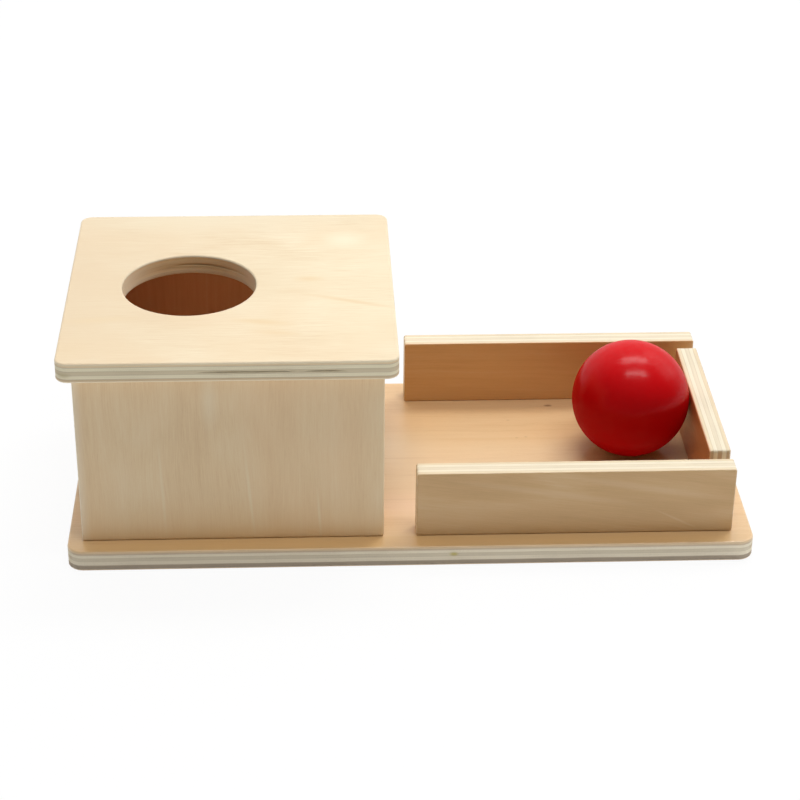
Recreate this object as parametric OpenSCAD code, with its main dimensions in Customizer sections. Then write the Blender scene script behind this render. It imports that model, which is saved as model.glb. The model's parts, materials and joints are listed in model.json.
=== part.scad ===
// Object permanence box: a plywood box with a round drop hole in its lid, standing on a base board.
// Inside, a sloping ramp leads the ball out through the exit wall into a tray of three low walls.
// Millimetres, +Z up, +X from the box towards the tray. The origin is under the middle of the base board.

/* [Base board] */
// Thickness of the base board
base_thickness = 9; // [8:0.5:15]
// Radius of the base board's four corners, seen from above
base_corner = 6.5; // [3:0.5:16]
// Border of the base board left of the box
border_left = 6; // [2:0.5:20]
// Border of the base board right of the tray
border_right = 8.5; // [2:0.5:20]
// Border of the base board in front of and behind the walls
border_front = 8.5; // [2:0.5:20]

/* [Box] */
// Length of the box, left to right
box_length = 122.75; // [110:0.25:150]
// Depth of the box, front to back, which is also the outside width of the tray
box_depth = 120.5; // [105:0.5:150]
// Height of the four box walls
box_height = 77.5; // [74:0.5:110]
// Thickness of the box walls
box_wall = 9; // [8:0.5:12]

/* [Lid] */
// Thickness of the lid
lid_thickness = 8.5; // [8:0.5:15]
// Radius of the lid's four corners, seen from above
lid_corner = 5; // [3:0.5:16]
// How far the lid reaches past the box on the left and on the right
lid_overhang_side = 5.5; // [2:0.25:10]
// How far the lid reaches past the box in front and behind
lid_overhang_front = 7.5; // [2:0.5:10]
// How much wider the drop hole is than the ball
hole_play = 4.5; // [2:0.5:10]
// Distance of the drop hole from the middle of the box, away from the tray
hole_offset = 17.25; // [0:0.25:20]

/* [Exit and ramp] */
// Height left free above the ball in the exit opening
exit_headroom = 9.5; // [4:0.5:14]
// Width of the wall left standing on each side of the exit opening
exit_post = 13.25; // [12:0.25:20]
// Radius of the exit opening's upper corners
exit_corner = 10; // [3:0.5:16]
// Thickness of the ramp board
ramp_thickness = 5; // [3:0.5:9]
// Height of the ramp's upper end above the base board
ramp_rise = 24; // [16:0.5:27]
// Height of the blunt edge at the ramp's lower end
ramp_toe = 1; // [0.5:0.25:2.5]
// Width of the batten that carries the ramp's upper end
batten_width = 12; // [6:0.5:20]

/* [Tray] */
// Gap between the box and the tray walls
tray_gap = 13.25; // [4:0.25:30]
// Length of the tray's front and back walls
tray_length = 130.25; // [100:0.25:180]
// Height of the tray walls
tray_height = 29.5; // [20:0.5:40]
// Thickness of the tray walls
tray_wall = 9; // [8:0.5:12]
// Gap between each end of the tray's end wall and the wall beside it
end_gap = 6.25; // [2:0.25:12]

/* [Ball] */
// Diameter of the ball
ball_diameter = 50.5; // [45:0.5:54]
// Distance of the resting ball from the middle of the tray, towards the back
ball_aside = 7; // [-10:0.5:10]

/* [Dowels] */
// Diameter of the joining dowels
dowel_diameter = 5; // [3:0.5:6]
// Depth of a dowel in the face of a board
dowel_in_face = 5.5; // [4:0.5:6]
// Depth of a dowel in the edge of a board
dowel_in_edge = 9.5; // [6:0.5:10]
// Distance of the outer dowels from the ends of the boards that they hold
dowel_inset = 24; // [14:0.5:30]

/* [Finish and fits] */
// Radius to which the outer edges of the boards are sanded
edge_ease = 0.8; // [0.3:0.1:1.5]
// Gap round the ball where it rests on the base board and against the end wall
ball_gap = 0.2; // [0.1:0.05:0.5]
// Gap round a dowel in its bore
dowel_gap = 0.1; // [0.05:0.05:0.2]
// Room for glue past each end of a dowel
dowel_end_gap = 0.4; // [0.2:0.1:1]
// Gap round the ramp where it drops in between the walls
ramp_gap = 0.3; // [0.1:0.1:1]
// Glue line between the ramp and its batten
glue_line = 0.1; // [0.05:0.05:0.3]

/* [Hidden] */
$fn = 96;
// A cut runs this far past the face that it opens
past = 1;

// Plan of the base board, left to right and front to back
base_length = border_left + box_length + tray_gap + tray_length + border_right;
base_width = box_depth + 2 * border_front;
left_end = -base_length / 2;

// Box walls
box_x0 = left_end + border_left;
box_x1 = box_x0 + box_length;
box_mid = (box_x0 + box_x1) / 2;
inner_x0 = box_x0 + box_wall;
inner_x1 = box_x1 - box_wall;
inner_depth = box_depth - 2 * box_wall;
box_wall_y = (box_depth - box_wall) / 2;
wall_top = base_thickness + box_height;

// Lid and drop hole
lid_length = box_length + 2 * lid_overhang_side;
lid_width = box_depth + 2 * lid_overhang_front;
hole_radius = (ball_diameter + hole_play) / 2;
hole_x = box_mid - hole_offset;

// Exit opening, cut up from the bottom of the exit wall
exit_height = ball_diameter + exit_headroom;
exit_width = inner_depth - 2 * exit_post;
exit_post_y = (inner_depth - exit_post) / 2;

// Ramp, from the left wall to the exit wall, and the line of its underside
ramp_run = inner_x1 - ramp_gap - inner_x0;
ramp_slope = (ramp_rise - ramp_toe) / ramp_run;
ramp_drop = ramp_thickness * sqrt(1 + ramp_slope * ramp_slope);
ramp_width = inner_depth - 2 * ramp_gap;
function ramp_underside(x) = ramp_rise - ramp_drop - ramp_slope * x;

// Tray walls
tray_x0 = box_x1 + tray_gap;
tray_x1 = tray_x0 + tray_length;
tray_wall_y = (box_depth - tray_wall) / 2;
end_length = box_depth - 2 * tray_wall - 2 * end_gap;
end_wall_x = tray_x1 - tray_wall / 2;

// Ball at rest against the end wall
ball_radius = ball_diameter / 2;
ball_x = tray_x1 - tray_wall - ball_gap - ball_radius;
ball_z = base_thickness + ball_gap + ball_radius;

// Upright dowels under the box walls and the tray walls, as [x, y]
box_dowel_spots = [
    for (x = [box_x0 + dowel_inset, box_x1 - dowel_inset], side = [-1, 1]) [x, side * box_wall_y],
    for (x = [box_x0 + box_wall / 2, box_x1 - box_wall / 2], side = [-1, 1]) [x, side * exit_post_y]
];
tray_dowel_spots = [
    for (x = [tray_x0 + dowel_inset, tray_x1 - dowel_inset], side = [-1, 1]) [x, side * tray_wall_y],
    for (side = [-1, 1]) [end_wall_x, side * (end_length / 2 - dowel_inset)]
];
// Upright dowels between the box walls and the lid, as [x, y]
lid_dowel_spots = [
    for (x = [box_x0 + dowel_inset, box_x1 - dowel_inset], side = [-1, 1]) [x, side * box_wall_y]
];
// Level dowels at the corners of the box, as [x, z], repeated at the front and at the back
corner_dowel_spots = [
    for (x = [box_x0 + box_wall / 2, box_x1 - box_wall / 2],
         z = [base_thickness + dowel_inset, wall_top - dowel_inset]) [x, z]
];

// Colours of the woods and of the ball
lid_colour = [0.95, 0.86, 0.70];
box_colour = [0.86, 0.74, 0.55];
base_colour = [0.88, 0.68, 0.46];
tray_colour = [0.80, 0.62, 0.43];
inner_colour = [0.78, 0.63, 0.45];
dowel_colour = [0.82, 0.66, 0.46];
ball_colour = [0.78, 0.04, 0.09];

// Rectangle from the origin with its two upper corners rounded, and its lower two as well if asked
module eased_outline(width, height, radius, all_corners = false) {
    low = all_corners ? radius : 0;
    translate([radius, 0]) square([width - 2 * radius, height]);
    translate([0, low]) square([width, height - radius - low]);
    for (x = [radius, width - radius], y = all_corners ? [radius, height - radius] : [height - radius])
        translate([x, y]) circle(r = radius);
}

// Flat strip of board from the Y axis out to reach, with both of its outer edges eased
module eased_strip(reach, thickness, radius) {
    square([reach - radius, thickness]);
    translate([0, radius]) square([reach, thickness - 2 * radius]);
    for (y = [radius, thickness - radius]) translate([reach - radius, y]) circle(r = radius);
}

// Half of that strip's outline, from the axis of a corner outwards, for turning into a rounded corner
module eased_corner_outline(reach, thickness, radius) {
    intersection() {
        eased_strip(reach, thickness, radius);
        square([reach, thickness]);
    }
}

// Board that lies flat, with round corners and eased top and bottom edges, centred on the Z axis
module flat_board(length, width, thickness, corner) {
    core_length = length - 2 * corner;
    core_width = width - 2 * corner;
    translate([-core_length / 2, -core_width / 2, 0]) cube([core_length, core_width, thickness]);
    for (turn = [0, 180]) rotate(turn) {
        translate([core_length / 2, core_width / 2, 0]) rotate([90, 0, 0])
            linear_extrude(core_width) eased_corner_outline(corner, thickness, edge_ease);
        translate([-core_length / 2, core_width / 2, 0]) rotate([90, 0, 90])
            linear_extrude(core_length) eased_corner_outline(corner, thickness, edge_ease);
    }
    for (x = [-1, 1], y = [-1, 1])
        translate([x * core_length / 2, y * core_width / 2, 0])
            rotate(x > 0 ? (y > 0 ? 0 : 270) : (y > 0 ? 90 : 180))
                rotate_extrude(angle = 90) eased_corner_outline(corner, thickness, edge_ease);
}

// Wall that stands on its lower edge, centred on the Z axis, with its ends and its top edges eased
module standing_wall(length, thickness, height) {
    intersection() {
        translate([-length / 2, -thickness / 2, 0])
            linear_extrude(height) eased_outline(length, thickness, edge_ease, true);
        translate([-length / 2, -thickness / 2, 0]) rotate([90, 0, 90])
            linear_extrude(length) eased_outline(thickness, height, edge_ease);
        translate([-length / 2, thickness / 2, 0]) rotate([90, 0, 0])
            linear_extrude(thickness) eased_outline(length, height, edge_ease);
    }
}

// Upright dowels, or the bores for them, about the joint at the given height
module upright_dowels(spots, joint_z, below, above, gap, end_gap) {
    for (spot = spots)
        translate([spot[0], spot[1], joint_z - below - end_gap])
            cylinder(d = dowel_diameter + 2 * gap, h = below + above + 2 * end_gap);
}

// Level dowels at the corners of the box, or the bores for them
module corner_dowel_set(gap, end_gap) {
    for (spot = corner_dowel_spots, side = [-1, 1])
        translate([spot[0], side * (inner_depth / 2 - dowel_in_edge - end_gap), spot[1]])
            rotate([-90 * side, 0, 0])
                cylinder(d = dowel_diameter + 2 * gap, h = dowel_in_edge + dowel_in_face + 2 * end_gap);
}

module base_dowel_set(spots, gap = 0, end_gap = 0) {
    upright_dowels(spots, base_thickness, dowel_in_face, dowel_in_edge, gap, end_gap);
}

module lid_dowel_set(gap = 0, end_gap = 0) {
    upright_dowels(lid_dowel_spots, wall_top, dowel_in_edge, dowel_in_face, gap, end_gap);
}

// Every dowel bore of the box walls
module box_wall_bores() {
    base_dowel_set(box_dowel_spots, dowel_gap, dowel_end_gap);
    lid_dowel_set(dowel_gap, dowel_end_gap);
    corner_dowel_set(dowel_gap, dowel_end_gap);
}

module base_board() {
    color(base_colour) difference() {
        flat_board(base_length, base_width, base_thickness, base_corner);
        base_dowel_set(box_dowel_spots, dowel_gap, dowel_end_gap);
        base_dowel_set(tray_dowel_spots, dowel_gap, dowel_end_gap);
    }
}

// Front or back wall of the box, which runs the full length over the ends of the side walls
module box_long_wall(side) {
    color(box_colour) difference() {
        translate([box_x0, side * box_wall_y - box_wall / 2, base_thickness])
            linear_extrude(box_height) eased_outline(box_length, box_wall, edge_ease, true);
        box_wall_bores();
    }
}

module box_front_wall() {
    box_long_wall(-1);
}

module box_back_wall() {
    box_long_wall(1);
}

module box_left_wall() {
    color(box_colour) difference() {
        translate([box_x0, -inner_depth / 2, base_thickness]) cube([box_wall, inner_depth, box_height]);
        box_wall_bores();
    }
}

// Outline of the exit opening, from the bottom of the wall up
module exit_outline() {
    translate([-exit_width / 2, -past]) square([exit_width, exit_height - exit_corner + past]);
    translate([-exit_width / 2 + exit_corner, 0]) square([exit_width - 2 * exit_corner, exit_height]);
    for (side = [-1, 1])
        translate([side * (exit_width / 2 - exit_corner), exit_height - exit_corner]) circle(r = exit_corner);
}

module box_exit_wall() {
    color(box_colour) difference() {
        translate([inner_x1, -inner_depth / 2, base_thickness]) cube([box_wall, inner_depth, box_height]);
        translate([inner_x1 - past, 0, base_thickness]) rotate([90, 0, 90])
            linear_extrude(box_wall + 2 * past) exit_outline();
        box_wall_bores();
    }
}

// Waste of the drop hole: the bore, and a rounded flare that eases its rim at both faces of the lid
module drop_hole() {
    translate([0, 0, -past]) cylinder(r = hole_radius, h = lid_thickness + 2 * past);
    for (face = [0, 1])
        translate([0, 0, face * lid_thickness]) mirror([0, 0, 1 - face]) rotate_extrude() difference() {
            translate([hole_radius - past, -edge_ease]) square([edge_ease + past, edge_ease + past]);
            translate([hole_radius + edge_ease, -edge_ease]) circle(r = edge_ease);
        }
}

module box_lid() {
    color(lid_colour) difference() {
        translate([box_mid, 0, wall_top]) flat_board(lid_length, lid_width, lid_thickness, lid_corner);
        translate([hole_x, 0, wall_top]) drop_hole();
        lid_dowel_set(dowel_gap, dowel_end_gap);
    }
}

// Piece with a side outline drawn from the left wall and the base board, spanning the inside of the box
module ramp_piece(outline) {
    translate([inner_x0, ramp_width / 2, base_thickness]) rotate([90, 0, 0])
        linear_extrude(ramp_width) polygon(outline);
}

module ramp_board() {
    color(inner_colour) ramp_piece([
        [0, ramp_underside(0)],
        [(ramp_rise - ramp_drop) / ramp_slope, 0],
        [ramp_run, 0],
        [ramp_run, ramp_toe],
        [0, ramp_rise]
    ]);
}

module ramp_batten() {
    color(inner_colour) ramp_piece([
        [0, 0],
        [batten_width, 0],
        [batten_width, ramp_underside(batten_width) - glue_line],
        [0, ramp_underside(0) - glue_line]
    ]);
}

// Front or back wall of the tray
module tray_long_wall(side) {
    color(tray_colour) difference() {
        translate([(tray_x0 + tray_x1) / 2, side * tray_wall_y, base_thickness])
            standing_wall(tray_length, tray_wall, tray_height);
        base_dowel_set(tray_dowel_spots, dowel_gap, dowel_end_gap);
    }
}

module tray_front_wall() {
    tray_long_wall(-1);
}

module tray_back_wall() {
    tray_long_wall(1);
}

module tray_end_wall() {
    color(tray_colour) difference() {
        translate([end_wall_x, 0, base_thickness]) rotate(90) standing_wall(end_length, tray_wall, tray_height);
        base_dowel_set(tray_dowel_spots, dowel_gap, dowel_end_gap);
    }
}

module ball() {
    color(ball_colour) translate([ball_x, ball_aside, ball_z]) sphere(r = ball_radius);
}

module box_base_dowels() {
    color(dowel_colour) base_dowel_set(box_dowel_spots);
}

module box_corner_dowels() {
    color(dowel_colour) corner_dowel_set(0, 0);
}

module lid_dowels() {
    color(dowel_colour) lid_dowel_set();
}

module tray_dowels() {
    color(dowel_colour) base_dowel_set(tray_dowel_spots);
}

base_board();
box_front_wall();
box_back_wall();
box_left_wall();
box_exit_wall();
box_lid();
ramp_board();
ramp_batten();
tray_front_wall();
tray_back_wall();
tray_end_wall();
ball();
box_base_dowels();
box_corner_dowels();
lid_dowels();
tray_dowels();
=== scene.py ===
"""Object permanence box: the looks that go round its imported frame.

The toy is five-ply plywood. A base board carries a box with a round drop hole in its lid and a tray of
three low walls, and a red lacquered ball lies in the tray. Every board is built here as plywood, with
eased edges, glue lines, plies that stand a little shy of each other and gaps in the core.

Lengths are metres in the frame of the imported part: +X from the box to the tray, +Y to the back, +Z up.
"""

import json
import logging
import math
from dataclasses import dataclass
from enum import Enum, IntEnum
from typing import Any, Mapping, Sequence

import bmesh
import bpy
from mathutils import Matrix, Vector, noise

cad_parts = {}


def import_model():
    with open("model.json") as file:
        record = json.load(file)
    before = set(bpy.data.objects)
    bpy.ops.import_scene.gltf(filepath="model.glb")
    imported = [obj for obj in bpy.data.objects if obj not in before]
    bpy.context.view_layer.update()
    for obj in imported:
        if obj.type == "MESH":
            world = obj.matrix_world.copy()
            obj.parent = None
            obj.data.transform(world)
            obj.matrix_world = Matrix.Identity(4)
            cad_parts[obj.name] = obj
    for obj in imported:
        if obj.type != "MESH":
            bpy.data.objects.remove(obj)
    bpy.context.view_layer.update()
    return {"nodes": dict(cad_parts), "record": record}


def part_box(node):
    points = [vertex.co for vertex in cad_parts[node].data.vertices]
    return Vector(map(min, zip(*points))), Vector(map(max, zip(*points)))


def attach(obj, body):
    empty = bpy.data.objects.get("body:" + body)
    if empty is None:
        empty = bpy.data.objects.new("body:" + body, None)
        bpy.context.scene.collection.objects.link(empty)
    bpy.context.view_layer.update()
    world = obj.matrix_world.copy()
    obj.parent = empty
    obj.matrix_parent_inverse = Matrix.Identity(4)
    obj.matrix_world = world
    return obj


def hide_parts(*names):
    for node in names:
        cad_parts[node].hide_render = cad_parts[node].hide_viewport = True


LOG = logging.getLogger("object_permanence_box")

FIXED_BODY = "box_and_tray"
BALL_BODY = "ball"

MM = 0.001
RIM_STEP = 2.2 * MM
ARC_STEPS = 5
MIDDLE = 0.5

# Where the marks lie, in millimetres: the tops of the base board and the lid, and the front walls' faces.
BASE_TOP = 9.0
LID_TOP = 95.0
FRONT_FACE = -60.25

Colour = tuple[float, float, float]
Point = tuple[float, float, float]
Stops = Sequence[tuple[float, Colour]]

WHITE: Colour = (1.0, 1.0, 1.0)


class Axis(Enum):
    """A direction of the part's frame, with its place in a vector."""

    X = 0
    Y = 1
    Z = 2


class Lay(Enum):
    """How a board lies: the two axes of its faces, then the axis through its thickness."""

    FLAT = (Axis.X, Axis.Y, Axis.Z)
    LENGTHWISE = (Axis.X, Axis.Z, Axis.Y)
    CROSSWISE = (Axis.Y, Axis.Z, Axis.X)


class Skin(IntEnum):
    """The parts of a board's surface, numbered as its material slots."""

    LOW_FACE = 0
    RIM = 1
    HIGH_FACE = 2


class Wire:
    """One output socket that takes part in Python expressions and adds a Math node for each step."""

    def __init__(self, bench: "Bench", socket: bpy.types.NodeSocket) -> None:
        """Keeps the socket and the bench that its nodes stand on."""
        self.bench = bench
        self.socket = socket

    def beside(self, name: str) -> "Wire":
        """Gives another output of the same node."""
        return Wire(self.bench, self.socket.node.outputs[name])

    def maths(self, operation: str, *terms: "Wire | float") -> "Wire":
        """Adds a Math node with these terms on its sockets and gives its value."""
        return self.bench.node("ShaderNodeMath", {"operation": operation}, dict(enumerate(terms)))

    def __add__(self, other: "Wire | float") -> "Wire":
        """Adds a value to this one."""
        return self.maths("ADD", self, other)

    def __radd__(self, other: "Wire | float") -> "Wire":
        """Adds this value to a number."""
        return self.maths("ADD", other, self)

    def __sub__(self, other: "Wire | float") -> "Wire":
        """Takes a value from this one."""
        return self.maths("SUBTRACT", self, other)

    def __rsub__(self, other: "Wire | float") -> "Wire":
        """Takes this value from a number."""
        return self.maths("SUBTRACT", other, self)

    def __mul__(self, other: "Wire | float") -> "Wire":
        """Multiplies this value."""
        return self.maths("MULTIPLY", self, other)

    def __rmul__(self, other: "Wire | float") -> "Wire":
        """Multiplies a number by this value."""
        return self.maths("MULTIPLY", other, self)

    def __truediv__(self, other: "Wire | float") -> "Wire":
        """Divides this value."""
        return self.maths("DIVIDE", self, other)

    def __rtruediv__(self, other: "Wire | float") -> "Wire":
        """Divides a number by this value."""
        return self.maths("DIVIDE", other, self)

    def __abs__(self) -> "Wire":
        """Gives the value without its sign."""
        return self.maths("ABSOLUTE", self)

    def sine(self) -> "Wire":
        """Gives the sine of the value."""
        return self.maths("SINE", self)

    def most(self, other: "Wire | float") -> "Wire":
        """Gives the larger of two values."""
        return self.maths("MAXIMUM", self, other)


class Bench:
    """The node tree of one material or of the world, and the one place where its nodes are made."""

    # Sockets of a colour Mix node by place, because its sockets of other kinds have the same names.
    MIX_SHARE = 0
    MIX_FIRST = 6
    MIX_SECOND = 7
    MIX_COLOUR = 2

    def __init__(self, tree: bpy.types.NodeTree) -> None:
        """Clears the tree, so that only nodes made here are in it."""
        self.tree = tree
        tree.nodes.clear()

    def add(
        self,
        kind: str,
        settings: Mapping[str, Any] | None = None,
        sockets: Mapping[str | int, Any] | None = None,
    ) -> bpy.types.Node:
        """Makes any node.

        Args:
            kind: the node's type, such as "ShaderNodeMath".
            settings: what is set on the node first; "stops" are the colours of a ramp.
            sockets: the values or links of its inputs, by name or place.

        Returns:
            The node.
        """
        made = self.tree.nodes.new(kind)
        for name, setting in (settings or {}).items():
            if name == "stops":
                self._set_stops(made.color_ramp, setting)
            else:
                setattr(made, name, setting)
        for key, value in (sockets or {}).items():
            if isinstance(value, Wire):
                self.tree.links.new(value.socket, made.inputs[key])
            else:
                made.inputs[key].default_value = value
        return made

    @staticmethod
    def _set_stops(ramp: bpy.types.ColorRamp, stops: Stops) -> None:
        """Sets a ramp's colours.

        Args:
            ramp: the ramp, which starts with two stops.
            stops: place and colour of each stop, from the lowest place up.
        """
        while len(ramp.elements) < len(stops):
            ramp.elements.new(1.0)
        for element, (place, colour) in zip(ramp.elements, stops):
            element.position = place
            element.color = opaque(colour)

    def node(
        self,
        kind: str,
        settings: Mapping[str, Any] | None = None,
        sockets: Mapping[str | int, Any] | None = None,
        output: str | int = 0,
    ) -> Wire:
        """Makes any node, as add does, and gives the wanted one of its outputs."""
        return Wire(self, self.add(kind, settings, sockets).outputs[output])

    def principled(self, sockets: Mapping[str | int, Any]) -> None:
        """Ends a material with a Principled shader that has these sockets."""
        shader = self.node("ShaderNodeBsdfPrincipled", {}, sockets)
        self.add("ShaderNodeOutputMaterial", {}, {"Surface": shader})

    def place(self) -> Wire:
        """Gives the point of the surface in the part's own frame."""
        return self.node("ShaderNodeTexCoord", output="Object")

    def split(self, vector: Wire) -> tuple[Wire, Wire, Wire]:
        """Gives the three parts of a vector."""
        first = self.node("ShaderNodeSeparateXYZ", sockets={0: vector}, output="X")
        return first, first.beside("Y"), first.beside("Z")

    def join(self, *parts: Wire | float) -> Wire:
        """Makes a vector of three values."""
        return self.node("ShaderNodeCombineXYZ", sockets=dict(enumerate(parts)))

    def vector(self, operation: str, *terms: Any, output: str | int = 0) -> Wire:
        """Adds a Vector Math node with these terms on its sockets and gives the wanted output."""
        return self.node("ShaderNodeVectorMath", {"operation": operation}, dict(enumerate(terms)), output)

    def scaled(self, vector: Wire, scale: float) -> Wire:
        """Gives a vector times a number."""
        return self.vector("MULTIPLY", vector, (scale, scale, scale))

    def cloud(self, vector: Wire, detail: float = 2.0, roughness: float = 0.5) -> Wire:
        """Gives noise from -0.5 to 0.5, read at a vector that is already scaled."""
        sockets = {"Vector": vector, "Scale": 1.0, "Detail": detail, "Roughness": roughness}
        return self.node("ShaderNodeTexNoise", {}, sockets) - MIDDLE

    def ease(self, value: Wire, low: float, high: float, start: float = 0.0, end: float = 1.0) -> Wire:
        """Goes smoothly from the start level to the end level as a value rises from low to high."""
        sockets = {"Value": value, "From Min": low, "From Max": high, "To Min": start, "To Max": end}
        return self.node("ShaderNodeMapRange", {"interpolation_type": "SMOOTHSTEP"}, sockets)

    def shade(self, value: Wire, stops: Stops) -> Wire:
        """Gives the colour that a ramp has at a value."""
        return self.node("ShaderNodeValToRGB", {"stops": stops}, {0: value})

    def blend(self, share: Wire | float, first: Any, second: Any, way: str = "MIX") -> Wire:
        """Mixes two colours.

        Args:
            share: how much of the second there is.
            first: a colour or a link.
            second: a colour or a link.
            way: the blend type.

        Returns:
            The mixed colour.
        """
        settings = {"data_type": "RGBA", "blend_type": way}
        sockets = {self.MIX_SHARE: share, self.MIX_FIRST: opaque(first), self.MIX_SECOND: opaque(second)}
        return self.node("ShaderNodeMix", settings, sockets, self.MIX_COLOUR)

    def bump(self, height: Wire, depth: float, strength: float) -> Wire:
        """Turns a height into a normal, where a height of 1 is as deep as the depth in metres."""
        return self.node("ShaderNodeBump", {}, {"Height": height, "Distance": depth, "Strength": strength})


def opaque(colour: Any) -> Any:
    """Adds full alpha to a plain colour, and leaves a link as it is."""
    return colour if isinstance(colour, Wire) else (*colour, 1.0)


def mm(first: float, second: float, third: float) -> Point:
    """Gives three lengths in millimetres as metres."""
    return first * MM, second * MM, third * MM


def even_noise(spot: Vector) -> float:
    """Gives smooth noise from 0 to 1."""
    return (1 + noise.noise(spot)) / 2


def new_material(name: str) -> tuple[bpy.types.Material, Bench]:
    """Makes an empty node material.

    Args:
        name: the material's name.

    Returns:
        The material and the bench for its nodes.
    """
    material = bpy.data.materials.new(name)
    material.use_nodes = True
    return material, Bench(material.node_tree)


def put_in_scene(name: str, data: bpy.types.ID) -> bpy.types.Object:
    """Makes an object and puts it in the scene.

    Args:
        name: the object's name.
        data: its mesh, light or camera.

    Returns:
        The object.
    """
    made = bpy.data.objects.new(name, data)
    bpy.context.scene.collection.objects.link(made)
    return made


def piece_of(name: str, work: bmesh.types.BMesh) -> bpy.types.Object:
    """Turns a mesh that is done into a piece in the scene.

    Args:
        name: the piece's name.
        work: the mesh, which is used up.

    Returns:
        The piece.
    """
    mesh = bpy.data.meshes.new(name)
    work.to_mesh(mesh)
    work.free()
    return put_in_scene(name, mesh)


def stand_in(piece: bpy.types.Object, node: str, body: str) -> None:
    """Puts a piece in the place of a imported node.

    Args:
        piece: the piece.
        node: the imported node.
        body: the body that it rides on.
    """
    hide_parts(node)
    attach(piece, body)


@dataclass(frozen=True)
class Mark:
    """A soft-edged spot laid over a colour: a knot, a fleck, a pale patch or a line in the wood, or a patch
    of painted light or shade.

    Attributes:
        place: its middle.
        reach: how far it goes along each axis.
        colour: its colour.
        strength: how much of that colour its middle takes.
        core: the share of its reach at full strength.
        lean: how far it drifts along each axis for each metre of its run.
        run: the axis that it runs along.
    """

    place: Point
    reach: Point
    colour: Colour
    strength: float
    core: float = 0.0
    lean: Point = (0.0, 0.0, 0.0)
    run: Axis = Axis.X

    def paint(self, bench: Bench, place: Wire, under: Wire) -> Wire:
        """Lays the spot over a colour.

        Args:
            bench: the bench of the material.
            place: the point of the surface.
            under: the colour without the spot.

        Returns:
            The colour with the spot.
        """
        offset = bench.vector("SUBTRACT", place, self.place)
        if any(self.lean):
            sockets = {0: self.lean, "Scale": bench.split(offset)[self.run.value]}
            drift = bench.node("ShaderNodeVectorMath", {"operation": "SCALE"}, sockets)
            offset = bench.vector("SUBTRACT", offset, drift)
        away = bench.vector("DIVIDE", offset, self.reach)
        distance = bench.vector("LENGTH", away, output="Value")
        share = bench.ease(distance, self.core, 1.0, self.strength, 0.0)
        return bench.blend(share, under, self.colour)


@dataclass(frozen=True)
class GrainLay:
    """Which way the grain of one board runs.

    Attributes:
        along: the axis along the grain.
        across: the axis across it, in the face.
        through: the axis through the board.
        seed: where in the noise this board is cut from.
        slant: how far the figure drifts across for each metre along.
        faces: where the board's two faces are along its thickness, if its arrises are eased.
    """

    along: Axis
    across: Axis
    through: Axis
    seed: float
    slant: float = 0.0
    faces: tuple[float, float] | None = None


@dataclass(frozen=True)
class GrainLayer:
    """One layer of noise in the wood, drawn out along the grain.

    Attributes:
        long: how often it changes in a metre along the grain.
        cross: how often it changes in a metre across it.
        shift: how far from the board's own place in the noise it is read.
        detail: how many finer layers are added.
        roughness: how strong the finer layers are.
    """

    long: float
    cross: float
    shift: float
    detail: float = 2.0
    roughness: float = 0.5

    def read(
        self,
        bench: Bench,
        spot: tuple[Wire, Wire, Wire],
        seed: float,
        stretch: float = 1.0,
        breadth: float = 1.0,
    ) -> Wire:
        """Reads the layer.

        Args:
            bench: the bench of the material.
            spot: the place along, across and through the grain.
            seed: where in the noise the board is cut from.
            stretch: how many times longer its shapes are.
            breadth: how many times broader they are.

        Returns:
            A value from -0.5 to 0.5.
        """
        along, across, through = spot
        long = self.long / stretch
        cross = self.cross / breadth
        place = bench.join(along * long, across * cross, through * long + (seed + self.shift))
        return bench.cloud(place, self.detail, self.roughness)


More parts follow.
